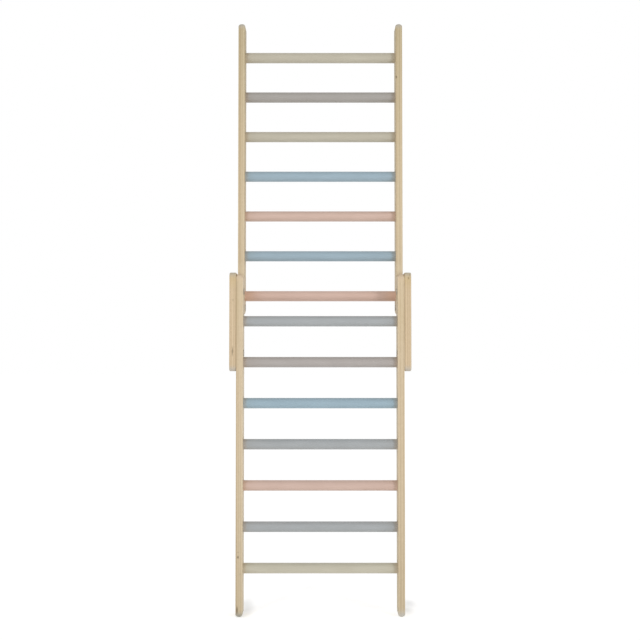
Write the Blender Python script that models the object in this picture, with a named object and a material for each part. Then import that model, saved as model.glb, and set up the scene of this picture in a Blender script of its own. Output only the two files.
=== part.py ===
"""A child's folding climbing triangle, unfolded straight so that it stands as one tall ladder.

Two ladders of equal width stand one behind the other and overlap in height. A plate outside each pair of
rails is bolted to the lower rail, and the upper rail turns on a pivot bolt in the same plate. The upper
ladder folds backwards about that pivot, down to flat behind the lower one.

X runs to the right, Y to the back and Z up, and the origin is on the floor, midway between the ladders.
"""

import math

import bmesh
import bpy
from mathutils import Vector

# Boards and ladders, in metres
BOARD = 0.018
INNER_WIDTH = 0.413
RAIL_DEPTH = 0.060
RAIL_END_FLAT = 0.036
RAIL_EDGE_FLAT = 0.012
HEEL_FLAT = 0.012
LADDER_GAP = 0.0015

# Rungs
RUNG_COUNT = 7
RUNG_DIAMETER = 0.028
RUNG_PITCH = 0.110
RUNG_CHAMFER = 0.0015
SOCKET_DEPTH = 0.010

# Heights along the rails
FOOT_TO_RUNG = 0.125
RUNG_TO_LOWER_TOP = 0.126
RUNG_STEP_ACROSS = 0.071
RUNG_TO_UPPER_TOP = 0.089
HEEL_BELOW_PIVOT = 0.020
PIVOT_RUNG_SPACE = 0.0095

# Hinge plates
PLATE_RISE = 0.004
PLATE_END_FLAT = 0.0975
PLATE_EDGE_FLAT = 0.015
PLATE_BOLT_MARGIN = 0.049
UPPER_BOLT_DROP = 0.046
LOWER_BOLT_SPACE = 0.0025

# Connector bolts and their cap nuts
HEAD_DIAMETER = 0.017
HEAD_THICKNESS = 0.0014
HEAD_EDGE = 0.0005
HEX_KEY = 0.004
HEX_DEPTH = 0.0025
BOLT_DIAMETER = 0.006
BOLT_TIP_SHORT = 0.003
BOLT_TIP_CHAMFER = 0.0008
SLEEVE_DIAMETER = 0.009
SLEEVE_SHORT = 0.005

# Gap between pieces that touch, and how far a cutting tool runs past the face it enters
FIT = 0.0003
OVERRUN = 0.002

# Facets: round sides, points on a quarter corner and steps in an edge rounding
RUNG_SIDES = 24
BOLT_SIDES = 24
CORNER_STEPS = 8
EDGE_STEPS = 3

# Points closer than this are one point
WELD = 1e-6
# Faces that meet at more than this angle keep a crisp edge
CRISP_ANGLE = math.radians(35)

# Heights and depths worked out from the sizes above
RUNG_RADIUS = RUNG_DIAMETER / 2
LADDER_SPAN = (RUNG_COUNT - 1) * RUNG_PITCH
LOWER_LAST_RUNG = FOOT_TO_RUNG + LADDER_SPAN
LOWER_TOP = LOWER_LAST_RUNG + RUNG_TO_LOWER_TOP
UPPER_FIRST_RUNG = LOWER_LAST_RUNG + RUNG_STEP_ACROSS
UPPER_TOP = UPPER_FIRST_RUNG + LADDER_SPAN + RUNG_TO_UPPER_TOP
PIVOT_Z = UPPER_FIRST_RUNG - RUNG_RADIUS - PIVOT_RUNG_SPACE - HEAD_DIAMETER / 2
UPPER_HEEL = PIVOT_Z - HEEL_BELOW_PIVOT
LADDER_OFFSET = (RAIL_DEPTH + LADDER_GAP) / 2
UPPER_BOLT_Z = LOWER_TOP - UPPER_BOLT_DROP
LOWER_BOLT_Z = LOWER_LAST_RUNG - RUNG_PITCH + RUNG_RADIUS + LOWER_BOLT_SPACE + HEAD_DIAMETER / 2
PLATE_TOP = LOWER_TOP + PLATE_RISE
PLATE_BOTTOM = LOWER_BOLT_Z - PLATE_BOLT_MARGIN
PLATE_DEPTH = 2 * RAIL_DEPTH + LADDER_GAP

# Distances from the middle of the ladder, along X
RAIL_INNER_X = INNER_WIDTH / 2
RAIL_OUTER_X = RAIL_INNER_X + BOARD
PLATE_INNER_X = RAIL_OUTER_X + FIT
PLATE_OUTER_X = PLATE_INNER_X + BOARD

# Paint of each rung, from the lowest to the highest
LOWER_PAINTS = ("sand", "grey", "pink", "grey", "blue", "warm_grey", "grey")
UPPER_PAINTS = ("pink", "blue", "pink", "blue", "sand", "warm_grey", "sand")

# Finishes as (colour as seen on screen, roughness, metallic)
FINISHES = {
    "birch_plywood": ((0.83, 0.75, 0.62), 0.55, 0.0),
    "sand": ((0.76, 0.73, 0.66), 0.45, 0.0),
    "warm_grey": ((0.68, 0.66, 0.64), 0.45, 0.0),
    "grey": ((0.67, 0.68, 0.68), 0.45, 0.0),
    "blue": ((0.62, 0.70, 0.75), 0.45, 0.0),
    "pink": ((0.81, 0.70, 0.65), 0.45, 0.0),
    "zinc": ((0.62, 0.61, 0.60), 0.35, 1.0),
}

SIDES = (("left", -1), ("right", 1))


def clear_scene():
    for thing in list(bpy.data.objects):
        bpy.data.objects.remove(thing, do_unlink=True)


def linear(value):
    """A screen colour's value as the light that it stands for."""
    if value <= 0.04045:
        return value / 12.92
    return ((value + 0.055) / 1.055) ** 2.4


def make_finish(name):
    colour, roughness, metallic = FINISHES[name]
    finish = bpy.data.materials.new(name)
    finish.use_nodes = True
    shader = finish.node_tree.nodes["Principled BSDF"]
    shader.inputs["Base Color"].default_value = (*map(linear, colour), 1.0)
    shader.inputs["Roughness"].default_value = roughness
    shader.inputs["Metallic"].default_value = metallic
    return finish


def make_holder(name, at):
    """An empty that carries one ladder, placed on the axis that the ladder turns about."""
    holder = bpy.data.objects.new(name, None)
    holder.location = at
    bpy.context.scene.collection.objects.link(holder)
    return holder


def place(name, mesh, finish, holder, at, facing=1):
    """A named piece at a point of the model; facing -1 turns it half round, to look towards -X."""
    piece = bpy.data.objects.new(name, mesh)
    bpy.context.scene.collection.objects.link(piece)
    piece.parent = holder
    piece.location = Vector(at) - holder.location
    piece.rotation_euler.z = 0.0 if facing > 0 else math.pi
    if not mesh.materials:
        mesh.materials.append(finish)
    piece.material_slots[0].link = "OBJECT"
    piece.material_slots[0].material = finish
    return piece


def to_mesh(name, shape):
    """The finished mesh of a bmesh, closed, facing out and smooth on its round faces."""
    bmesh.ops.remove_doubles(shape, verts=shape.verts, dist=WELD)
    bmesh.ops.recalc_face_normals(shape, faces=shape.faces)
    mesh = bpy.data.meshes.new(name)
    shape.to_mesh(mesh)
    shape.free()
    smooth(mesh)
    return mesh


def smooth(mesh):
    mesh.shade_smooth()
    mesh.set_sharp_from_angle(angle=CRISP_ANGLE)


def carved(body, tool):
    """A mesh with the shape of another one cut out of it."""
    pieces = [bpy.data.objects.new(mesh.name, mesh) for mesh in (body, tool)]
    for piece in pieces:
        bpy.context.scene.collection.objects.link(piece)
    cut = pieces[0].modifiers.new("cut", "BOOLEAN")
    cut.operation = "DIFFERENCE"
    cut.solver = "EXACT"
    cut.object = pieces[1]
    evaluated = pieces[0].evaluated_get(bpy.context.evaluated_depsgraph_get())
    mesh = bpy.data.meshes.new_from_object(evaluated)
    for piece in pieces:
        bpy.data.objects.remove(piece)
    smooth(mesh)
    return mesh


def add_turned(shape, profile, sides, y=0.0, z=0.0):
    """Spins (x, radius) points about a line along X."""
    points = [shape.verts.new((x, y, z + radius)) for x, radius in profile]
    edges = [shape.edges.new(pair) for pair in zip(points, points[1:])]
    bmesh.ops.spin(
        shape,
        geom=points + edges,
        cent=(0.0, y, z),
        axis=(1.0, 0.0, 0.0),
        angle=math.tau,
        steps=sides,
        use_merge=True,
    )


def turned(name, profile, sides):
    shape = bmesh.new()
    add_turned(shape, profile, sides)
    return to_mesh(name, shape)


def rod(start, end, radius):
    """Profile of a plain round rod between two places along X."""
    return [(start, 0.0), (start, radius), (end, radius), (end, 0.0)]


def rounded_outline(depth, height, top_flat, bottom_flat):
    """Side view of a board as (y, z) points, its middle at y = 0 and its lower end at z = 0.

    Its corners are as round as the flat that is left across each end lets them be.
    """
    corners = ((top_flat, 1), (top_flat, -1), (bottom_flat, -1), (bottom_flat, 1))
    points = []
    for corner, (flat, side) in enumerate(corners):
        radius = (depth - flat) / 2
        y = side * flat / 2
        z = height - radius if corner < 2 else radius
        for step in range(CORNER_STEPS + 1):
            angle = math.tau / 4 * (corner + step / CORNER_STEPS)
            points.append((y + radius * math.cos(angle), z + radius * math.sin(angle)))
    return points


def board(name, outline, edge_flat):
    """A board with its inner face at x = 0, rounded all round the outline up to a flat along its edge."""
    shape = bmesh.new()
    face = shape.faces.new([shape.verts.new((0.0, y, z)) for y, z in outline])
    grown = bmesh.ops.extrude_face_region(shape, geom=[face])["geom"]
    far = [part for part in grown if isinstance(part, bmesh.types.BMVert)]
    bmesh.ops.translate(shape, verts=far, vec=(BOARD, 0.0, 0.0))
    rims = [edge for edge in shape.edges if abs(edge.verts[0].co.x - edge.verts[1].co.x) < WELD]
    bmesh.ops.bevel(
        shape,
        geom=rims,
        offset=(BOARD - edge_flat) / 2,
        offset_type="OFFSET",
        segments=EDGE_STEPS,
        profile=0.5,
        affect="EDGES",
    )
    return to_mesh(name, shape)


def rung_mesh():
    """A dowel along X, chamfered at both ends, that reaches to the floor of its two sockets."""
    end = RAIL_INNER_X + SOCKET_DEPTH - FIT
    shoulder = end - RUNG_CHAMFER
    rim = RUNG_RADIUS - RUNG_CHAMFER
    profile = [(-end, 0.0), (-end, rim), (-shoulder, RUNG_RADIUS)]
    profile += [(shoulder, RUNG_RADIUS), (end, rim), (end, 0.0)]
    return turned("rung", profile, RUNG_SIDES)


def rail_mesh(name, bottom, top, bottom_flat, rung_heights, bolt_heights):
    """A rail with a blind socket for each rung and a hole for each cap nut's sleeve."""
    tools = bmesh.new()
    for height in rung_heights:
        socket = rod(-OVERRUN, SOCKET_DEPTH, RUNG_RADIUS + FIT)
        add_turned(tools, socket, RUNG_SIDES, z=height - bottom)
    for height in bolt_heights:
        hole = rod(-OVERRUN, BOARD + OVERRUN, SLEEVE_DIAMETER / 2 + FIT)
        add_turned(tools, hole, BOLT_SIDES, z=height - bottom)
    outline = rounded_outline(RAIL_DEPTH, top - bottom, RAIL_END_FLAT, bottom_flat)
    blank = board(name, outline, RAIL_EDGE_FLAT)
    return carved(blank, to_mesh("rail_drills", tools))


def plate_mesh(facing):
    """A hinge plate with holes for the pivot bolt, at the back, and for the two plate bolts, in front."""
    tools = bmesh.new()
    holes = ((LADDER_OFFSET, PIVOT_Z), (-LADDER_OFFSET, UPPER_BOLT_Z), (-LADDER_OFFSET, LOWER_BOLT_Z))
    for y, height in holes:
        hole = rod(-OVERRUN, BOARD + OVERRUN, BOLT_DIAMETER / 2 + FIT)
        add_turned(tools, hole, BOLT_SIDES, y=facing * y, z=height - PLATE_BOTTOM)
    outline = rounded_outline(PLATE_DEPTH, PLATE_TOP - PLATE_BOTTOM, PLATE_END_FLAT, PLATE_END_FLAT)
    blank = board("hinge_plate", outline, PLATE_EDGE_FLAT)
    return carved(blank, to_mesh("plate_drills", tools))


def hex_socket(name, face, inwards):
    """The six-sided key socket behind a head's outer face; it runs deeper than the head is thick."""
    corner_radius = HEX_KEY / 2 / math.cos(math.pi / 6)
    return turned(name, rod(face - inwards * OVERRUN, face + inwards * HEX_DEPTH, corner_radius), 6)


def bolt_mesh():
    """A flat-headed bolt that points towards -X, with the underside of its head at x = 0."""
    head = HEAD_DIAMETER / 2
    shank = BOLT_DIAMETER / 2
    tip = -(FIT + BOARD + FIT + BOARD - BOLT_TIP_SHORT)
    face = HEAD_THICKNESS
    profile = [(face, 0.0), (face, head - HEAD_EDGE), (face - HEAD_EDGE, head), (0.0, head)]
    profile += [(0.0, shank), (tip + BOLT_TIP_CHAMFER, shank), (tip, shank - BOLT_TIP_CHAMFER), (tip, 0.0)]
    blank = turned("connector_bolt", profile, BOLT_SIDES)
    return carved(blank, hex_socket("bolt_key", face, -1))


def nut_mesh():
    """A cap nut that points towards +X: a flat flange and a sleeve whose bore meets the key socket."""
    head = HEAD_DIAMETER / 2
    sleeve = SLEEVE_DIAMETER / 2
    bore = BOLT_DIAMETER / 2 + FIT
    end = FIT + BOARD - SLEEVE_SHORT
    face = -HEAD_THICKNESS
    profile = [(face, 0.0), (face, head - HEAD_EDGE), (face + HEAD_EDGE, head), (0.0, head)]
    profile += [(0.0, sleeve), (end, sleeve), (end, bore), (0.0, bore), (0.0, 0.0)]
    blank = turned("cap_nut", profile, BOLT_SIDES)
    return carved(blank, hex_socket("nut_key", face, 1))


def rung_heights(first):
    return [first + number * RUNG_PITCH for number in range(RUNG_COUNT)]


def build_ladder(name, holder, y, bottom, rail, heights, paints, finishes):
    """Two rails and the rungs between them, painted from the lowest rung to the highest."""
    for side, facing in SIDES:
        at = (facing * RAIL_INNER_X, y, bottom)
        place(f"{name}_{side}_rail", rail, finishes["birch_plywood"], holder, at, facing)
    rung = rung_mesh()
    for number, height in enumerate(heights):
        paint = finishes[paints[number % len(paints)]]
        place(f"{name}_rung_{number + 1}", rung, paint, holder, (0.0, y, height))


def build_plates(holder, finishes):
    for side, facing in SIDES:
        at = (facing * PLATE_INNER_X, 0.0, PLATE_BOTTOM)
        place(f"{side}_hinge_plate", plate_mesh(facing), finishes["birch_plywood"], holder, at, facing)


def build_fasteners(holder, finishes):
    """The bolts enter through the plates, and their cap nuts sit on the inner faces of the rails."""
    zinc = finishes["zinc"]
    bolt = bolt_mesh()
    nut = nut_mesh()
    joints = (
        ("pivot", LADDER_OFFSET, PIVOT_Z),
        ("upper_plate", -LADDER_OFFSET, UPPER_BOLT_Z),
        ("lower_plate", -LADDER_OFFSET, LOWER_BOLT_Z),
    )
    for side, facing in SIDES:
        head_x = facing * (PLATE_OUTER_X + FIT)
        nut_x = facing * (RAIL_INNER_X - FIT)
        for joint, y, height in joints:
            place(f"{side}_{joint}_bolt", bolt, zinc, holder, (head_x, y, height), facing)
            place(f"{side}_{joint}_nut", nut, zinc, holder, (nut_x, y, height), facing)


def main():
    clear_scene()
    finishes = {name: make_finish(name) for name in FINISHES}
    lower = make_holder("lower_ladder", (0.0, 0.0, 0.0))
    upper = make_holder("upper_ladder", (0.0, LADDER_OFFSET, PIVOT_Z))
    heights = rung_heights(FOOT_TO_RUNG)
    plate_bolts = (UPPER_BOLT_Z, LOWER_BOLT_Z)
    rail = rail_mesh("lower_rail", 0.0, LOWER_TOP, RAIL_END_FLAT, heights, plate_bolts)
    build_ladder("lower", lower, -LADDER_OFFSET, 0.0, rail, heights, LOWER_PAINTS, finishes)
    heights = rung_heights(UPPER_FIRST_RUNG)
    rail = rail_mesh("upper_rail", UPPER_HEEL, UPPER_TOP, HEEL_FLAT, heights, (PIVOT_Z,))
    build_ladder("upper", upper, LADDER_OFFSET, UPPER_HEEL, rail, heights, UPPER_PAINTS, finishes)
    build_plates(lower, finishes)
    build_fasteners(lower, finishes)


main()
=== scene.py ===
# %% [markdown]
# # A child's climbing triangle, unfolded straight
# The real object is two plywood ladders with painted rungs, joined by a plate and a pivot bolt on each
# side. Unfolded, it stands as one tall ladder. Its solids are already packed with their places, sizes and
# pivot, so this lesson doesn't move anything. It gives each piece a finer mesh where its solid is, and a
# finish of nodes.

import math

import bmesh
import bpy
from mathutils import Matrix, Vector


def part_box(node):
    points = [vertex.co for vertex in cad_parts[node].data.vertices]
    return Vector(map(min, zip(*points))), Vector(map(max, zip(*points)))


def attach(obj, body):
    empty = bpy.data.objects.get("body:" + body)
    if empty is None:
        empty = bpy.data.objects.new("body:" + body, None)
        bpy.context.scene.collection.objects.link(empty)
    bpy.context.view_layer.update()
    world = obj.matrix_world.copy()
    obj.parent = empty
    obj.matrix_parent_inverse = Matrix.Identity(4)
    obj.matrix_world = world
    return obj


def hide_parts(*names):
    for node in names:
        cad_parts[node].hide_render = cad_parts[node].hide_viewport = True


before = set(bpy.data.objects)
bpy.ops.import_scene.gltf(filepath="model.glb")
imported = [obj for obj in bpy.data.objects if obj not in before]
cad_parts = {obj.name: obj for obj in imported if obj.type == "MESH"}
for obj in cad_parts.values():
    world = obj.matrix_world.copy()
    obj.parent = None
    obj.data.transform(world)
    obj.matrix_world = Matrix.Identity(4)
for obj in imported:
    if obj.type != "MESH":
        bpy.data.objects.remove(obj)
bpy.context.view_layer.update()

# %% [markdown]
# ## Sizes
# Every size could be typed in again, but then it could drift away from the solids. The boxes of the
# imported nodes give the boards' thickness, their places and the rungs' diameter. Only what a box can't
# tell, such as how round an edge is, is written down, in metres.

# %% Read the sizes from the solids
rail_low, rail_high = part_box("lower_right_rail")
rail_face = rail_low.x
rail_front = rail_low.y
upper_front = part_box("upper_right_rail")[0].y
plate_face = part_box("right_hinge_plate")[0].x
rung_low, rung_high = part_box("lower_rung_1")
board_thickness = rail_high.x - rail_low.x
rung_radius = (rung_high.z - rung_low.z) / 2
print(f"boards {board_thickness * 1000:.1f} mm thick, rungs {rung_radius * 2000:.1f} mm across")

# %% [markdown]
# ## Nodes without clutter
# A finish is a tree of shader nodes, and each node needs its inputs filled. An input takes either a plain
# value or a wire from another node. A few small helpers that take both keep the recipes below short
# enough to read.

# %% Helpers for numbers
def linear(red, green, blue):
    """A screen colour from 0 to 255 as the light that it stands for."""
    light = []
    for value in (red / 255, green / 255, blue / 255):
        light.append(value / 12.92 if value <= 0.04045 else ((value + 0.055) / 1.055) ** 2.4)
    return (*light, 1.0)


def feed(tree, socket, value):
    """Sets a socket to a plain value, or wires another node's output to it."""
    if isinstance(value, bpy.types.NodeSocket):
        tree.links.new(value, socket)
    else:
        socket.default_value = value


def calc(tree, operation, *values, clamp=False):
    """One step of arithmetic on numbers or outputs."""
    step = tree.nodes.new("ShaderNodeMath")
    step.operation = operation
    step.use_clamp = clamp
    for socket, value in zip(step.inputs, values):
        feed(tree, socket, value)
    return step.outputs["Value"]


def span(tree, value, low, high, smooth=False):
    """Values from 0 to 1 stretched to run from low to high."""
    ranged = tree.nodes.new("ShaderNodeMapRange")
    ranged.interpolation_type = "SMOOTHSTEP" if smooth else "LINEAR"
    feed(tree, ranged.inputs["Value"], value)
    ranged.inputs["To Min"].default_value = low
    ranged.inputs["To Max"].default_value = high
    return ranged.outputs["Result"]


def new_finish(name):
    """A new material, its tree of nodes and its shader."""
    finish = bpy.data.materials.new(name)
    finish.use_nodes = True
    return finish, finish.node_tree, finish.node_tree.nodes["Principled BSDF"]


print("number helpers ready")

# %% Helpers for places
def coordinate(tree, place, axis):
    """How far a place lies along one axis."""
    split = tree.nodes.new("ShaderNodeSeparateXYZ")
    feed(tree, split.inputs["Vector"], place)
    return split.outputs[axis]


def vector_step(tree, operation, first, second=None):
    """One step of arithmetic on places."""
    step = tree.nodes.new("ShaderNodeVectorMath")
    step.operation = operation
    feed(tree, step.inputs[0], first)
    if second is not None:
        step.inputs[1].default_value = second
    return step.outputs["Value" if operation == "LENGTH" else "Vector"]


def stretched(tree, place, scale):
    """Texture places scaled along each axis: a small scale draws the pattern out along that axis."""
    mapping = tree.nodes.new("ShaderNodeMapping")
    feed(tree, mapping.inputs["Vector"], place)
    mapping.inputs["Scale"].default_value = scale
    return mapping.outputs["Vector"]


print("place helpers ready")

# %% Helpers for patterns and colours
def noise(tree, place, detail=2.0, roughness=0.5):
    """Soft random values in space, around one half."""
    texture = tree.nodes.new("ShaderNodeTexNoise")
    texture.inputs["Scale"].default_value = 1.0
    texture.inputs["Detail"].default_value = detail
    texture.inputs["Roughness"].default_value = roughness
    feed(tree, texture.inputs["Vector"], place)
    return texture.outputs["Fac"]


def mixed(tree, kind, amount, first, second, blend="MIX"):
    """Two colours or two places mixed by an amount from 0 to 1."""
    mix = tree.nodes.new("ShaderNodeMix")
    mix.data_type = kind
    mix.blend_type = blend
    inputs = {socket.identifier: socket for socket in mix.inputs}
    ending = "Color" if kind == "RGBA" else "Vector"
    feed(tree, inputs["Factor_Float"], amount)
    feed(tree, inputs[f"A_{ending}"], first)
    feed(tree, inputs[f"B_{ending}"], second)
    return next(socket for socket in mix.outputs if socket.identifier == f"Result_{ending}")


def bumped(tree, shader, height, strength, depth):
    """Lets a height pattern, depth metres deep, tilt the light on the surface."""
    bump = tree.nodes.new("ShaderNodeBump")
    bump.inputs["Strength"].default_value = strength
    bump.inputs["Distance"].default_value = depth
    feed(tree, bump.inputs["Height"], height)
    tree.links.new(bump.outputs["Normal"], shader.inputs["Normal"])


print("pattern helpers ready")

# %% [markdown]
# ## Plywood
# Plywood is thin sheets of veneer, glued crosswise. A face shows one sheet, and an edge shows all of them
# as fine stripes: sheets with the grain along the board look smooth there, and the crossed ones show
# their end grain. A picture wrapped round the board would break at its round edges. So the colour is
# worked out from the place inside the board: how deep a point lies tells which sheet it is in, and the
# stripes then bend round every edge by themselves, as they do when real plywood is sanded round. A soft
# noise lets the sheets wander a little.

# %% Find the sheet of veneer that a point lies in
plies = 9
ply = board_thickness / plies
wander_scale = (5.0, 5.0, 5.0)
wander_share = 0.4
face_margin = 0.3


def find_sheet(tree, place, inner_face):
    """The side and number of a point's sheet, how far through it the point is, and 1 if it is crossed."""
    across = coordinate(tree, place, "X")
    wander = noise(tree, stretched(tree, place, wander_scale))
    wander = span(tree, wander, -wander_share, wander_share)
    depth = calc(tree, "SUBTRACT", calc(tree, "ABSOLUTE", across), inner_face)
    depth = calc(tree, "ADD", calc(tree, "DIVIDE", depth, ply), wander)
    depth = calc(tree, "MINIMUM", calc(tree, "MAXIMUM", depth, face_margin), plies - face_margin)
    number = calc(tree, "FLOOR", depth)
    crossed = calc(tree, "MODULO", number, 2.0)
    return calc(tree, "SIGN", across), number, calc(tree, "FRACT", depth), crossed


print(f"plywood of {plies} sheets, {ply * 1000:.2f} mm each")

# %% [markdown]
# The fibres run along the board in one sheet and across it in the next. One noise does for both: its
# places are drawn out along the sheet's own grain, so that looking along the grain shows specks, and
# looking across it shows streaks. Sheets also differ a little in tone, and a face sheet has the soft
# flames of peeled birch. Those are contour lines: a noise that is folded to and fro many times.

# %% Grain of the veneers
grain_roughness = 0.6
side_offset = 40.0
flame_stretch = (2.0, 26.0, 2.4)
flame_folds = 11.0
flame_depth = 0.1


def grain_noise(tree, place, crossed, fine, drawn_out, detail):
    """A noise that is fine across the grain of a point's sheet and drawn out along it."""
    lengthwise = stretched(tree, place, (fine, fine, drawn_out))
    crosswise = stretched(tree, place, (fine, drawn_out, fine))
    return noise(tree, mixed(tree, "VECTOR", crossed, lengthwise, crosswise), detail, grain_roughness)


def sheet_tone(tree, side, number, seed):
    """One random value for each sheet of each board."""
    tone = tree.nodes.new("ShaderNodeTexWhiteNoise")
    tone.noise_dimensions = "1D"
    board_number = calc(tree, "ADD", calc(tree, "MULTIPLY", side, side_offset), seed)
    feed(tree, tone.inputs["W"], calc(tree, "ADD", number, board_number))
    return tone.outputs["Value"]


def flames(tree, place, number):
    """The contour lines of peeled veneer, on the two face sheets only."""
    middle = (plies - 1) / 2
    from_middle = calc(tree, "ABSOLUTE", calc(tree, "SUBTRACT", number, middle))
    outer = calc(tree, "GREATER_THAN", from_middle, middle - 0.5)
    lines = calc(tree, "MULTIPLY", noise(tree, stretched(tree, place, flame_stretch)), flame_folds)
    lines = span(tree, calc(tree, "PINGPONG", lines, 1.0), -flame_depth, flame_depth)
    return calc(tree, "MULTIPLY", lines, outer)


print("grain helpers ready")

# %% [markdown]
# Knots and gaps in the inner sheets show along the edges, the wood's tone changes in soft patches, and
# the feet look darker or greyer. Each of these is an egg-shaped spot of another colour at a place inside
# the board, so it fades into the wood on every side. The wood is also made darker towards its far ends,
# which a soft function of the height gives. Where a board is cut across, the open ends of the fibres
# drink the varnish, so the edges turn greyer over the last centimetre or so. The broad faces don't, which
# the direction of the surface tells apart. The same grey is also painted shade on the rounded ends, which
# face up and down.

# %% Spots, dark ends and end grain
brightest_height = 0.7
dark_reach = 0.9
dark_power = 2.2
end_reach = 0.020
face_power = 4.0


def spot(tree, place, centre, half_sizes):
    """1 in the middle of an egg-shaped spot, falling to 0 at its border."""
    away = vector_step(tree, "SUBTRACT", place, centre)
    scaled = vector_step(tree, "DIVIDE", away, half_sizes)
    return span(tree, vector_step(tree, "LENGTH", scaled), 1.0, 0.0, smooth=True)


def dark_ends(tree, place):
    """0 near the middle of the unfolded ladders, rising to 1 at the feet and at the top."""
    away = calc(tree, "ABSOLUTE", calc(tree, "SUBTRACT", coordinate(tree, place, "Z"), brightest_height))
    return calc(tree, "POWER", calc(tree, "DIVIDE", away, dark_reach), dark_power, clamp=True)


def grey_and_shaded_ends(tree, place, direction, bottom, top):
    """Where end grain and painted shade grey the ends: 1 at the two ends of a board, falling to 0 within
    it and towards its broad faces.
    """
    height = coordinate(tree, place, "Z")
    from_bottom = calc(tree, "SUBTRACT", height, bottom)
    from_top = calc(tree, "SUBTRACT", top, height)
    to_end = calc(tree, "DIVIDE", calc(tree, "MINIMUM", from_bottom, from_top), end_reach)
    near_end = span(tree, to_end, 1.0, 0.0, smooth=True)
    sideways = calc(tree, "ABSOLUTE", coordinate(tree, direction, "X"))
    on_face = calc(tree, "POWER", sideways, face_power)
    return calc(tree, "MULTIPLY", near_end, calc(tree, "SUBTRACT", 1.0, on_face))


print("spot helpers ready")

# %% [markdown]
# The finish puts these together. Fibres, broad bands, the sheet's own tone and the flames add up to a
# lightness, which picks a colour between a dark and a pale birch. Tints, the dark glue lines, the grey
# ends and the spots follow, each mixed in by its own share. The fibres and the glue lines also roughen
# the surface a little, under a matt varnish.

# %% Plywood finish
dark_birch = linear(190, 168, 132)
pale_birch = linear(235, 219, 191)
rosy_tint = linear(255, 238, 228)
# Tint that darkens the wood towards its far ends.
far_end_tint = linear(227, 229, 222)
glue_line = linear(160, 130, 94)
# Grey of the end grain; it is also painted shade on the rounded ends, which face up and down.
ends_grey_and_shade = linear(184, 180, 171)
fibre_grain = {"fine": 1500.0, "drawn_out": 35.0, "detail": 3.0}
band_grain = {"fine": 130.0, "drawn_out": 4.0, "detail": 2.0}
fibre_light = (-0.2, 0.2)
band_light = (-0.3, 0.3)
sheet_light = (0.25, 0.75)
crossed_shade = 0.08
rosy_share = 0.3
seam_sharpness = 11.0
seam_share = 0.3
seam_groove = 0.4
end_share = 0.8
varnish_roughness = (0.5, 0.66)
wood_bump = {"strength": 0.3, "depth": 0.0003}


def plywood(name, node, seed, tint, spots):
    """Plywood of a pair of boards, of which the node is the right one."""
    finish, tree, shader = new_finish(name)
    low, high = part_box(node)
    source = tree.nodes.new("ShaderNodeTexCoord")
    place = source.outputs["Object"]
    side, number, within, crossed = find_sheet(tree, place, low.x)
    fibre = grain_noise(tree, place, crossed, **fibre_grain)
    band = grain_noise(tree, place, crossed, **band_grain)
    tone = sheet_tone(tree, side, number, seed)

    light = calc(tree, "ADD", span(tree, fibre, *fibre_light), span(tree, band, *band_light))
    light = calc(tree, "ADD", light, span(tree, tone, *sheet_light))
    light = calc(tree, "ADD", light, flames(tree, place, number))
    light = calc(tree, "SUBTRACT", light, calc(tree, "MULTIPLY", crossed, crossed_shade), clamp=True)
    colour = mixed(tree, "RGBA", light, dark_birch, pale_birch)
    colour = mixed(tree, "RGBA", 1.0, colour, tint, "MULTIPLY")
    colour = mixed(tree, "RGBA", span(tree, band, 0.0, rosy_share), colour, rosy_tint, "MULTIPLY")
    colour = mixed(tree, "RGBA", dark_ends(tree, place), colour, far_end_tint, "MULTIPLY")

    to_seam = calc(tree, "MINIMUM", within, calc(tree, "SUBTRACT", 1.0, within))
    seam = span(tree, calc(tree, "MULTIPLY", to_seam, seam_sharpness), 1.0, 0.0, smooth=True)
    colour = mixed(tree, "RGBA", calc(tree, "MULTIPLY", seam, seam_share), colour, glue_line)
    # Grey ends: end grain, and painted shade on the rounded ends.
    grey_ends_amount = grey_and_shaded_ends(tree, place, source.outputs["Normal"], low.z, high.z)
    colour = mixed(tree, "RGBA", calc(tree, "MULTIPLY", grey_ends_amount, end_share), colour, ends_grey_and_shade)
    for centre, half_sizes, strength, spot_colour in spots:
        amount = calc(tree, "MULTIPLY", spot(tree, place, centre, half_sizes), strength)
        colour = mixed(tree, "RGBA", amount, colour, spot_colour)

    height = calc(tree, "SUBTRACT", fibre, calc(tree, "MULTIPLY", seam, seam_groove))
    tree.links.new(colour, shader.inputs["Base Color"])
    tree.links.new(span(tree, fibre, *varnish_roughness), shader.inputs["Roughness"])
    bumped(tree, shader, height, **wood_bump)
    return finish


print("plywood recipe ready")

# %% [markdown]
# The lower rails, the upper rails and the plates are cut from three sheets, so each pair has its own
# finish. The knots and patches are where the photo shows them. Each spot is a centre, its half sizes in
# metres, a strength and a colour. A knot is small, and a patch is wide enough to run through the whole
# board.

# %% Make the plywood of the rails and the plates
knot_brown = linear(90, 72, 50)
# A pale tone, used as painted light.
painted_light_birch = linear(247, 230, 198)
rosy_birch = linear(222, 190, 150)
yellow_birch = linear(198, 173, 115)
left_foot_grey = linear(110, 112, 98)
right_foot_grey = linear(196, 195, 190)


def on_both_sides(x, y, z, half_sizes, strength, colour):
    """The same spot on the left and on the right board of a pair."""
    return [((side * x, y, z), half_sizes, strength, colour) for side in (-1, 1)]


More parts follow.
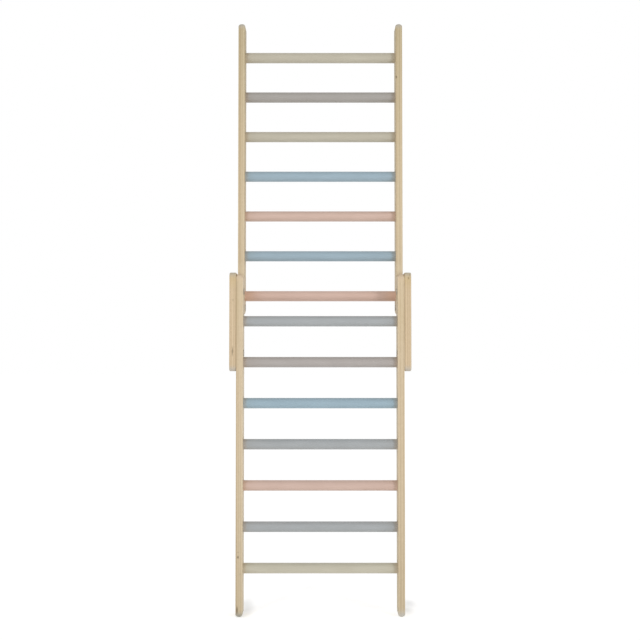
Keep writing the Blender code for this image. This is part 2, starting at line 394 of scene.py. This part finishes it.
lower_spots = [
    ((-0.2203, rail_front, 0.019), (0.0030, 0.010, 0.0160), 1.0, knot_brown),
    ((-0.2126, rail_front, 0.114), (0.0016, 0.006, 0.0050), 0.4, knot_brown),
    ((-0.2180, rail_front, 0.159), (0.0032, 0.006, 0.0056), 1.0, knot_brown),
    ((-0.2180, rail_front, 0.172), (0.0020, 0.006, 0.0030), 0.5, knot_brown),
    # A darker grey at the bottom of the left foot.
    ((-0.2155, rail_front, -0.002), (0.0900, 0.150, 0.0220), 0.55, left_foot_grey),
    # A paler grey at the bottom of the right foot.
    ((0.2155, rail_front, 0.000), (0.0900, 0.150, 0.0300), 0.5, right_foot_grey),
    *on_both_sides(0.2155, rail_front, 0.911, (0.0900, 0.150, 0.0260), 0.55, rosy_birch),
    ((-0.2155, rail_front, 0.830), (0.0900, 0.150, 0.1000), 0.10, yellow_birch),
    ((0.2155, rail_front, 0.810), (0.0900, 0.150, 0.1300), 0.13, yellow_birch),
]
upper_spots = [
    ((0.2085, upper_front, 1.456), (0.0030, 0.006, 0.0056), 1.0, knot_brown),
    # A pale patch on each upper rail just above the lower rails' tops: painted light against the shade
    # that those tops make there.
    *on_both_sides(0.2155, upper_front, 0.918, (0.0400, 0.030, 0.0400), 0.35, painted_light_birch),
]
plate_spots = [
    ((-0.2340, rail_front, 0.704), (0.0032, 0.008, 0.0180), 0.65, knot_brown),
    ((-0.2330, rail_front, 0.841), (0.0020, 0.006, 0.0060), 0.4, knot_brown),
    ((0.2358, rail_front, 0.899), (0.0028, 0.006, 0.0056), 0.9, knot_brown),
    ((0.2385, rail_front, 0.908), (0.0024, 0.006, 0.0050), 0.7, knot_brown),
    *on_both_sides(0.2345, rail_front, 0.898, (0.0900, 0.150, 0.0360), 0.32, yellow_birch),
]
lower_tint, upper_tint, plate_tint = linear(250, 251, 251), linear(249, 250, 248), linear(250, 247, 243)
lower_plywood = plywood("lower_rail_plywood", "lower_right_rail", 9.0, lower_tint, lower_spots)
upper_plywood = plywood("upper_rail_plywood", "upper_right_rail", 11.0, upper_tint, upper_spots)
plate_plywood = plywood("plate_plywood", "right_hinge_plate", 23.0, plate_tint, plate_spots)
print("plywood finishes:", lower_plywood.name, upper_plywood.name, plate_plywood.name)

# %% [markdown]
# ## Rails and plates
# Each rail is a plywood strip with round corners, and each hinge plate is a wider board of the same kind.
# A bevel could round a plain block, but laying the board up in rings gives full control: the side view is
# drawn once with its round corners, and each ring is that outline, drawn in a little where the edge
# curves over to a face. The long edges are only eased, so that plate and rail meet in a fine line, and
# the ends are sanded rounder.

# %% Lay up a board with round corners and edges
corner_steps = 14
edge_steps = 6


def side_view(low, high, top_corner, bottom_corner):
    """The outline as (y, z) points, each with the direction that faces out there."""
    outline = []
    for quarter in range(4):
        corner = top_corner if quarter < 2 else bottom_corner
        y = high.y - corner if quarter in (0, 3) else low.y + corner
        z = high.z - corner if quarter < 2 else low.z + corner
        for step in range(corner_steps + 1):
            angle = math.tau / 4 * (quarter + step / corner_steps)
            out_y, out_z = math.cos(angle), math.sin(angle)
            outline.append((y + corner * out_y, z + corner * out_z, out_y, out_z))
    return outline


def closed_mesh(name, shape):
    """A mesh of the shape, with its faces turned outwards."""
    bmesh.ops.recalc_face_normals(shape, faces=shape.faces)
    mesh = bpy.data.meshes.new(name)
    shape.to_mesh(mesh)
    shape.free()
    return mesh


def board(name, node, corners, side_edge, end_edge):
    """A board with its solid's box; corners are the radii at its top and bottom in the side view."""
    low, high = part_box(node)
    outline = side_view(low, high, *corners)
    angles = [math.tau / 4 * step / edge_steps for step in range(edge_steps + 1)]
    layers = [(low.x, 1, angle) for angle in angles] + [(high.x, -1, angle) for angle in reversed(angles)]
    shape = bmesh.new()
    rings = []
    for face, inwards, angle in layers:
        ring = []
        for y, z, out_y, out_z in outline:
            edge = side_edge + (end_edge - side_edge) * out_z * out_z
            inset = edge * (1 - math.sin(angle))
            x = face + inwards * edge * (1 - math.cos(angle))
            ring.append(shape.verts.new((x, y - inset * out_y, z - inset * out_z)))
        rings.append(ring)
    for near, far in zip(rings, rings[1:]):
        for i in range(len(outline)):
            j = (i + 1) % len(outline)
            shape.faces.new((near[i], near[j], far[j], far[i]))
    shape.faces.new(rings[0])
    shape.faces.new(rings[-1])
    return closed_mesh(name, shape)


print("boards have", corner_steps, "steps to a corner and", edge_steps, "to an edge")

# %% [markdown]
# The rung sockets and the bolt holes are drilled. A drill is a rod turned about a line along X, and a
# Boolean modifier takes it away from the board. A Weld modifier then joins points that the cut left on
# top of each other. Reading the evaluated mesh back bakes both, so that the drill can be removed again.
# The sockets are blind, which is why nothing of the rungs shows on the rails' outer faces.

# %% Drill helpers
overrun = 0.002
weld_distance = 1e-6


def turn(shape, profile, sides, y=0.0, z=0.0):
    """Spins (x, radius) points about a line along X through that y and z."""
    points = [shape.verts.new((x, y, z + radius)) for x, radius in profile]
    edges = [shape.edges.new(pair) for pair in zip(points, points[1:])]
    bmesh.ops.spin(
        shape,
        geom=points + edges,
        cent=(0.0, y, z),
        axis=(1.0, 0.0, 0.0),
        angle=math.tau,
        steps=sides,
        use_merge=True,
    )
    bmesh.ops.remove_doubles(shape, verts=shape.verts, dist=weld_distance)


def rod(start, end, radius):
    """The profile of a plain rod."""
    return [(start, 0.0), (start, radius), (end, radius), (end, 0.0)]


def drilled(mesh, drill):
    """A mesh with the drill's shape taken away."""
    pieces = [bpy.data.objects.new(part.name, part) for part in (mesh, drill)]
    for piece in pieces:
        bpy.context.scene.collection.objects.link(piece)
    cut = pieces[0].modifiers.new("cut", "BOOLEAN")
    cut.operation = "DIFFERENCE"
    cut.solver = "EXACT"
    cut.object = pieces[1]
    weld = pieces[0].modifiers.new("weld", "WELD")
    weld.merge_threshold = weld_distance
    evaluated = pieces[0].evaluated_get(bpy.context.evaluated_depsgraph_get())
    result = bpy.data.meshes.new_from_object(evaluated)
    for piece in pieces:
        bpy.data.objects.remove(piece)
    return result


print("drill helpers ready")

# %% [markdown]
# A finished piece is shaded smooth, keeps a crisp line where faces meet at an angle, and rides on the
# body of the ladder that carries it. Weighted normals let the large flat faces keep their own direction,
# so that only the narrow rounded edges shade as curves.

# %% Show a piece in place of its solid
crisp_angle = math.radians(40)


def middle_of(node):
    """The middle of a solid's box."""
    low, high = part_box(node)
    return (low + high) / 2


def show(name, mesh, finish, body, node, at=(0.0, 0.0, 0.0), facing=1):
    """Puts a piece at a place, riding on a body in its solid's stead; facing -1 turns it half round."""
    piece = bpy.data.objects.new(name, mesh)
    bpy.context.scene.collection.objects.link(piece)
    mesh.materials.clear()
    mesh.materials.append(finish)
    mesh.shade_smooth()
    mesh.set_sharp_from_angle(angle=crisp_angle)
    even = piece.modifiers.new("even_faces", "WEIGHTED_NORMAL")
    even.keep_sharp = True
    piece.location = at
    piece.rotation_euler.z = 0.0 if facing > 0 else math.pi
    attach(piece, body)
    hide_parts(node)


# %% [markdown]
# Each rail has seven rung sockets. A lower rail also has two holes for the cap nuts of its plate bolts,
# and an upper rail has one for the pivot's. The four could be mirrored copies of one mesh, but then the
# grain, which follows the place, would be the same in all. The upper rails' heels are rounder, since they
# turn close behind the lower rails.

# %% Make the four rails
facings = {"left": -1, "right": 1}
rungs_per_ladder = 7
rung_sides = 64
hole_sides = 32
end_corner = 0.012
heel_corner = 0.024
rail_side_edge = 0.0007
rail_end_edge = 0.0085
socket_depth = 0.010
socket_play = 0.00015
sleeve_radius = 0.0045
hole_play = 0.0003


def rail_drill(ladder, side, bolts):
    """The sockets of the rungs, and a hole through the rail for each cap nut's sleeve."""
    facing = facings[side]
    start = facing * (rail_face - overrun)
    socket = rod(start, facing * (rail_face + socket_depth), rung_radius + socket_play)
    hole = rod(start, facing * (rail_face + board_thickness + overrun), sleeve_radius + hole_play)
    shape = bmesh.new()
    for number in range(1, rungs_per_ladder + 1):
        at = middle_of(f"{ladder}_rung_{number}")
        turn(shape, socket, rung_sides, at.y, at.z)
    for bolt_name in bolts:
        at = middle_of(f"{side}_{bolt_name}")
        turn(shape, hole, hole_sides, at.y, at.z)
    return closed_mesh("rail_drill", shape)


ladders = (
    ("lower", lower_plywood, (end_corner, end_corner), ("upper_plate_bolt", "lower_plate_bolt")),
    ("upper", upper_plywood, (end_corner, heel_corner), ("pivot_bolt",)),
)
for ladder, finish, corners, bolts in ladders:
    for side in facings:
        node = f"{ladder}_{side}_rail"
        strip = board(node, node, corners, rail_side_edge, rail_end_edge)
        rail = drilled(strip, rail_drill(ladder, side, bolts))
        show(f"{node}_board", rail, finish, f"{ladder}_ladder", node)
        print(node, "has", len(rail.polygons), "faces")

# %% [markdown]
# The hinge plates are wide enough to lie beside both rails. Two bolts fix each of them to a lower rail,
# and the upper rail turns on the third. The same board and drill helpers make them, with narrower holes,
# because only the bolts' shanks pass through.

# %% Make the two hinge plates
plate_side_edge = 0.0014
plate_end_edge = 0.003
bolt_radius = 0.003


def plate_drill(side):
    """Holes for the pivot bolt, at the back, and the two plate bolts, in front."""
    facing = facings[side]
    start = facing * (plate_face - overrun)
    end = facing * (plate_face + board_thickness + overrun)
    hole = rod(start, end, bolt_radius + hole_play)
    shape = bmesh.new()
    for bolt_name in ("pivot_bolt", "upper_plate_bolt", "lower_plate_bolt"):
        at = middle_of(f"{side}_{bolt_name}")
        turn(shape, hole, hole_sides, at.y, at.z)
    return closed_mesh("plate_drill", shape)


for side in facings:
    node = f"{side}_hinge_plate"
    blank = board(node, node, (end_corner, end_corner), plate_side_edge, plate_end_edge)
    plate = drilled(blank, plate_drill(side))
    show(f"{node}_board", plate, plate_plywood, "lower_ladder", node)
    print(node, "has", len(plate.polygons), "faces")

# %% [markdown]
# ## Painted rungs
# A rung is a birch dowel with a thin coat of satin paint. A plain coloured cylinder would look like
# plastic. On the real one the wood's long fibres press faintly through the paint, and the coat's colour
# and sheen vary a little along the dowel. So one noise is drawn out along the dowel for the fibres, and a
# wide, soft one varies the coat. In the photo the paint is warmer next to the rails, from the wood beside
# it, and more so at the pivots, where the lower rails shade the rung. The light alone gives too little of
# that here, so a birch colour is mixed into the coat at a rung's ends as painted warm bounce light, and
# the rung at the pivots has a longer stretch of it and a lighter coat, as painted light against that
# shade. The two ladders' tones differ slightly in the photo, so each has its own set of paints, and the
# upper set is also a little darker as painted shade, against the stronger light near the top.

# %% Paint finish
paint_fibres = (14.0, 900.0, 900.0)
paint_clouds = (16.0, 60.0, 60.0)
thin_coat = (-7, -8, -9)
full_coat = (7, 7, 7)
coat_light = (-0.2, 0.7)
paint_roughness = (0.42, 0.6)
paint_bump = {"strength": 0.25, "depth": 0.0002}
# Birch colour at the rung ends: painted warm bounce light from the rails.
rung_end_bounce = {"stretch": 0.014, "share": 0.25, "birch": (205, 172, 126)}
pivot_end_bounce = {"stretch": 0.05, "share": 0.45, "birch": (228, 184, 152)}


def changed(colour, steps):
    """A screen colour moved by so many steps of red, green and blue."""
    return linear(*[value + step for value, step in zip(colour, steps)])


def next_to_rails(tree, place, stretch):
    """1 where a rung meets a rail, falling to 0 within that stretch of the rung."""
    to_rail = calc(tree, "SUBTRACT", rail_face, calc(tree, "ABSOLUTE", coordinate(tree, place, "X")))
    return span(tree, calc(tree, "DIVIDE", to_rail, stretch), 1.0, 0.0, smooth=True)


def paint(name, colour, ends=rung_end_bounce):
    """A coat of a screen colour, with a birch colour painted in as warm bounce light where a rung meets
    the rails.
    """
    finish, tree, shader = new_finish(name)
    place = tree.nodes.new("ShaderNodeTexCoord").outputs["Object"]
    fibre = noise(tree, stretched(tree, place, paint_fibres), detail=3.0, roughness=grain_roughness)
    cloud = noise(tree, stretched(tree, place, paint_clouds))
    light = calc(tree, "ADD", span(tree, fibre, *coat_light), span(tree, cloud, *coat_light), clamp=True)
    coat = mixed(tree, "RGBA", light, changed(colour, thin_coat), changed(colour, full_coat))
    warm = calc(tree, "MULTIPLY", next_to_rails(tree, place, ends["stretch"]), ends["share"])
    coat = mixed(tree, "RGBA", warm, coat, linear(*ends["birch"]))
    tree.links.new(coat, shader.inputs["Base Color"])
    tree.links.new(span(tree, cloud, *paint_roughness), shader.inputs["Roughness"])
    bumped(tree, shader, fibre, **paint_bump)
    return finish


paints = {
    "lower": {
        "sand": paint("lower_sand_paint", (192, 187, 169)),
        "warm_grey": paint("lower_warm_grey_paint", (171, 165, 161)),
        "grey": paint("lower_grey_paint", (164, 168, 170)),
        "blue": paint("lower_blue_paint", (152, 175, 188)),
        "pink": paint("lower_pink_paint", (205, 178, 165)),
    },
    # The upper paints are also a little darker, as painted shade against the stronger light near the top.
    "upper": {
        "sand": paint("upper_sand_paint", (184, 178, 161)),
        "warm_grey": paint("upper_warm_grey_paint", (161, 157, 152)),
        "blue": paint("upper_blue_paint", (152, 173, 185)),
        "pink": paint("upper_pink_paint", (204, 177, 163)),
        # A lighter copy of the upper pink: painted light against the lower rails' shade on the rung at the
        # pivots.
        "pivot_lit_pink": paint("upper_pivot_lit_pink_paint", (210, 180, 166), pivot_end_bounce),
    },
}
for ladder, coats in paints.items():
    print(ladder, "ladder's paints:", ", ".join(coats))

# %% [markdown]
# The rungs are turned from a profile with a small chamfer at each end, which lets a real dowel slip into
# its socket. A cylinder from the Add menu would do for the middle, but not for the ends. The order of the
# colours is the photo's, from the lowest rung up.

# %% Turn the fourteen rungs
rung_order = {
    "lower": ("sand", "grey", "pink", "grey", "blue", "warm_grey", "grey"),
    "upper": ("pivot_lit_pink", "blue", "pink", "blue", "sand", "warm_grey", "sand"),
}
chamfer = 0.0015


def dowel(node):
    """A rung with its solid's length and place."""
    low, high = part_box(node)
    at = middle_of(node)
    rim = rung_radius - chamfer
    profile = [(low.x, 0.0), (low.x, rim), (low.x + chamfer, rung_radius)]
    profile += [(high.x - chamfer, rung_radius), (high.x, rim), (high.x, 0.0)]
    shape = bmesh.new()
    turn(shape, profile, rung_sides, at.y, at.z)
    return closed_mesh(node, shape)


for ladder, order in rung_order.items():
    for number, colour in enumerate(order, start=1):
        node = f"{ladder}_rung_{number}"
        show(f"{node}_dowel", dowel(node), paints[ladder][colour], f"{ladder}_ladder", node)
    print(ladder, "ladder, from the lowest rung:", ", ".join(order))

# %% [markdown]
# ## Bolts and cap nuts
# Flat-headed connector bolts go in from the plates' outer faces, and cap nuts with a sleeve take them on
# the rails' inner faces. Zinc plating is a dull metal that keeps faint rings from the lathe. The finish
# draws these from the distance to the bolt's own line, which works because each fastener's origin lies on
# that line.

# %% Zinc finish
dull_zinc = linear(166, 158, 144)
bright_zinc = linear(196, 188, 174)
across_the_line = (0.0, 1.0, 1.0)
ring_spacing = 0.0005
zinc_clouds = (500.0, 500.0, 500.0)
zinc_roughness = (0.28, 0.46)
zinc_bump = {"strength": 0.08, "depth": 0.00005}


def zinc(name):
    """Dull plating with rings about the X axis."""
    finish, tree, shader = new_finish(name)
    place = tree.nodes.new("ShaderNodeTexCoord").outputs["Object"]
    from_line = vector_step(tree, "LENGTH", stretched(tree, place, across_the_line))
    rings = calc(tree, "SINE", calc(tree, "MULTIPLY", from_line, math.tau / ring_spacing))
    cloud = noise(tree, stretched(tree, place, zinc_clouds), detail=3.0)
    tree.links.new(mixed(tree, "RGBA", cloud, dull_zinc, bright_zinc), shader.inputs["Base Color"])
    shader.inputs["Metallic"].default_value = 1.0
    tree.links.new(span(tree, cloud, *zinc_roughness), shader.inputs["Roughness"])
    bumped(tree, shader, rings, **zinc_bump)
    return finish


zinc_plating = zinc("zinc_plating")
print("metal finish:", zinc_plating.name)

# %% [markdown]
# All of them are turned parts, so a profile is spun about the bolt's line, with a rounded rim. The
# six-sided key socket is the one thing that a lathe can't make, and it is cut with a Boolean, as on the
# rails. It runs deeper than the thin heads: into the bolt's shank, and through to the nut's bore. The cut
# leaves many points along the rims of the socket's walls, so these are split into even triangles.

# %% Shapes of the fasteners
head_radius = 0.0085
head_thickness = 0.0014
head_sides = 48
rim_round = 0.0005
rim_steps = 5
tip_chamfer = 0.0008
key_sides = 6
key_depth = 0.0025
key_width = 0.004
key_radius = key_width / 2 / math.cos(math.pi / key_sides)


def flat_head(face):
    """The profile of a round head with a rounded rim, from the middle of its face to its back at x = 0."""
    inwards = -1 if face > 0 else 1
    profile = [(face, 0.0)]
    for step in range(rim_steps + 1):
        angle = math.tau / 4 * step / rim_steps
        x = face + inwards * rim_round * (1 - math.cos(angle))
        profile.append((x, head_radius - rim_round * (1 - math.sin(angle))))
    return profile + [(0.0, head_radius)]


def turned(name, profile, face):
    """A turned part with a key socket in its face."""
    inwards = -1 if face > 0 else 1
    shape = bmesh.new()
    turn(shape, profile, head_sides)
    key = bmesh.new()
    turn(key, rod(face - inwards * overrun, face + inwards * key_depth, key_radius), key_sides)
    part = drilled(closed_mesh(name, shape), closed_mesh("key", key))
    shape = bmesh.new()
    shape.from_mesh(part)
    bmesh.ops.triangulate(shape, faces=[wall for wall in shape.faces if len(wall.verts) > 4])
    shape.to_mesh(part)
    shape.free()
    return part


def bolt(name, length):
    """A bolt that points to -X, with the back of its head at x = 0."""
    shank = [(0.0, bolt_radius), (tip_chamfer - length, bolt_radius)]
    tip = [(-length, bolt_radius - tip_chamfer), (-length, 0.0)]
    return turned(name, flat_head(head_thickness) + shank + tip, head_thickness)


def cap_nut(name, sleeve):
    """A cap nut that points to +X, with the back of its flange at x = 0 and a bore for the bolt."""
    bore = bolt_radius + hole_play
    inside = [(0.0, sleeve_radius), (sleeve, sleeve_radius), (sleeve, bore), (0.0, bore), (0.0, 0.0)]
    return turned(name, flat_head(-head_thickness) + inside, -head_thickness)


print("shapes: bolt, cap nut")

# %% [markdown]
# The six bolts share one mesh, and so do the six nuts, because stock parts really are alike. On the left
# side they are turned half round.

# %% Set the fasteners on their lines
bolt_low, bolt_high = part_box("right_pivot_bolt")
nut_low, nut_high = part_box("right_pivot_nut")
bolt_mesh = bolt("connector_bolt", bolt_high.x - bolt_low.x - head_thickness)
nut_mesh = cap_nut("cap_nut", nut_high.x - nut_low.x - head_thickness)


def set_fastener(node, mesh, facing, back):
    """Places a turned part on its solid's line, its back that far to its own side of the middle."""
    at = middle_of(node)
    place = (facing * back, at.y, at.z)
    show(f"{node}_turned", mesh, zinc_plating, "lower_ladder", node, place, facing)


for side, facing in facings.items():
    for kind in ("pivot", "upper_plate", "lower_plate"):
        set_fastener(f"{side}_{kind}_bolt", bolt_mesh, facing, bolt_high.x - head_thickness)
        set_fastener(f"{side}_{kind}_nut", nut_mesh, facing, nut_low.x + head_thickness)
    print(side, "side: 3 bolts, 3 cap nuts")

# %% [markdown]
# ## Floor and white background
# The ladder stands in a white studio tent: light comes evenly from all round, and the white floor throws
# even more back up. A lamp strong enough to whiten the floor would burn out the pale wood, so the floor
# adds a little glow to the light that it reflects. Farther off, the floor is plain white to the camera,
# like the world behind it. Real shadows on such a bright floor are very faint. As in catalogue pictures,
# a touch of shadow at each foot is added to the floor's finish, with the same egg-shaped spots that made
# the knots.

# %% Floor finish
light_white = (0.66, 0.66, 0.66, 1.0)
camera_white = (0.98, 0.98, 0.98, 1.0)
light_glow = 0.48
camera_glow = 0.43
floor_roughness = 0.9
far_white = 1.02
far_distance = 1.2


def seen_directly(tree):
    """1 for rays from the camera, and for those in mirrors and glass; 0 for rays that carry light."""
    path = tree.nodes.new("ShaderNodeLightPath")
    mirrored = calc(tree, "MAXIMUM", path.outputs["Is Glossy Ray"], path.outputs["Is Transmission Ray"])
    return calc(tree, "MAXIMUM", path.outputs["Is Camera Ray"], mirrored)


def floor_finish(shades):
    """A white floor that also glows, and that is plain white to the camera farther off."""
    finish, tree, shader = new_finish("white_floor")
    camera_ray = seen_directly(tree)
    tree.links.new(mixed(tree, "RGBA", camera_ray, light_white, camera_white), shader.inputs["Base Color"])
    shader.inputs["Roughness"].default_value = floor_roughness
    shader.inputs["Specular IOR Level"].default_value = 0.0
    place = tree.nodes.new("ShaderNodeTexCoord").outputs["Object"]
    brightness = span(tree, camera_ray, light_glow, camera_glow)
    for centre, half_sizes, depth in shades:
        shade = calc(tree, "MULTIPLY", spot(tree, place, centre, half_sizes), depth)
        brightness = calc(tree, "SUBTRACT", brightness, calc(tree, "MULTIPLY", shade, camera_ray))
    glow = tree.nodes.new("ShaderNodeEmission")
    tree.links.new(brightness, glow.inputs["Strength"])
    near = tree.nodes.new("ShaderNodeAddShader")
    tree.links.new(shader.outputs[0], near.inputs[0])
    tree.links.new(glow.outputs[0], near.inputs[1])
    white = tree.nodes.new("ShaderNodeEmission")
    white.inputs["Strength"].default_value = far_white
    far = calc(tree, "DIVIDE", vector_step(tree, "LENGTH", place), far_distance)
    far = calc(tree, "MULTIPLY", camera_ray, span(tree, far, 0.0, 1.0, smooth=True))
    mix = tree.nodes.new("ShaderNodeMixShader")
    tree.links.new(far, mix.inputs["Fac"])
    tree.links.new(near.outputs[0], mix.inputs[1])
    tree.links.new(white.outputs[0], mix.inputs[2])
    tree.links.new(mix.outputs[0], tree.nodes["Material Output"].inputs["Surface"])
    return finish


print("floor recipe ready")

# %% Lay the floor
foot_shades = [
    ((-0.2040, 0.062, 0.0), (0.0340, 0.175, 0.05), 0.28),
    ((-0.2181, 0.120, 0.0), (0.0200, 0.060, 0.05), 0.08),
    ((0.2475, 0.115, 0.0), (0.0300, 0.075, 0.05), 0.27),
    ((0.2330, 0.036, 0.0), (0.0300, 0.080, 0.05), 0.24),
]
floor_reach = 40.0
floor_shape = bmesh.new()
bmesh.ops.create_grid(floor_shape, x_segments=1, y_segments=1, size=floor_reach)
floor = bpy.data.objects.new("floor", closed_mesh("floor", floor_shape))
floor.data.materials.append(floor_finish(foot_shades))
bpy.context.scene.collection.objects.link(floor)
print("floor", 2 * floor_reach, "m across, with", len(foot_shades), "soft shades at the feet")

# %% [markdown]
# The world is the tent's wall. It could be a large white sphere, but a world is simpler and has no edges.
# Its light is kept at the level that the wood needs, and only rays that look straight at it see plain
# white.

# %% World
world_light = 0.57
plain_white = (1.0, 1.0, 1.0, 1.0)


def white_world(strength):
    """Even light of a given strength, and plain white where the camera looks."""
    world = bpy.data.worlds.new("studio")
    world.use_nodes = True
    tree = world.node_tree
    fill = tree.nodes["Background"]
    fill.inputs["Color"].default_value = plain_white
    fill.inputs["Strength"].default_value = strength
    white = tree.nodes.new("ShaderNodeBackground")
    white.inputs["Color"].default_value = plain_white
    white.inputs["Strength"].default_value = 1.0
    mix = tree.nodes.new("ShaderNodeMixShader")
    tree.links.new(seen_directly(tree), mix.inputs["Fac"])
    tree.links.new(fill.outputs[0], mix.inputs[1])
    tree.links.new(white.outputs[0], mix.inputs[2])
    tree.links.new(mix.outputs[0], tree.nodes["World Output"].inputs["Surface"])
    return world


bpy.context.scene.world = white_world(world_light)
bpy.context.scene.view_settings.view_transform = "Standard"
print("world:", bpy.context.scene.world.name)

# %% [markdown]
# ## Lamps
# Even light alone would leave the object without shadows. Two tall, narrow panels of light stand in
# front. Being tall, they don't shade the rungs like pipes, and being narrow, they let the rails throw
# clear shadows on the rungs' ends. The right one is stronger and stands on the floor, and the left one
# hangs higher.

# %% Lamps
lamp_distance = 4.2


def light_panel(name, degrees_right, size, middle, degrees_down, watts):
    """A panel so many degrees to the right of the front, its middle that high, facing the ladder."""
    panel = bpy.data.lights.new(name, "AREA")
    panel.shape = "RECTANGLE"
    panel.size, panel.size_y = size
    panel.energy = watts
    angle = math.radians(degrees_right)
    holder = bpy.data.objects.new(name, panel)
    holder.location = (lamp_distance * math.sin(angle), -lamp_distance * math.cos(angle), middle)
    holder.rotation_euler = (math.radians(90 - degrees_down), 0.0, angle)
    bpy.context.scene.collection.objects.link(holder)
    print(name, watts, "W at", degrees_right, "degrees")


light_panel("left_panel", degrees_right=-29, size=(0.6, 2.4), middle=3.5, degrees_down=33, watts=36.0)
light_panel("right_panel", degrees_right=36, size=(0.6, 2.6), middle=1.3, degrees_down=0, watts=40.0)

# %% [markdown]
# ## Camera
# The camera stands straight in front, three metres away and a little below the middle, and looks up
# slightly. The lens follows from how fast the rungs' spacing shrinks upwards.

# %% Camera
camera_place = (-0.0008, -3.0568, 0.687)
degrees_up = 1.92
camera_data = bpy.data.cameras.new("camera")
camera_data.sensor_width = 36.0
camera_data.lens = 63.25
camera = bpy.data.objects.new("camera", camera_data)
camera.location = camera_place
camera.rotation_euler = (math.radians(90 + degrees_up), 0.0, 0.0)
bpy.context.scene.collection.objects.link(camera)
bpy.context.scene.camera = camera
print("camera at", camera_place, "with a lens of", camera_data.lens, "mm")
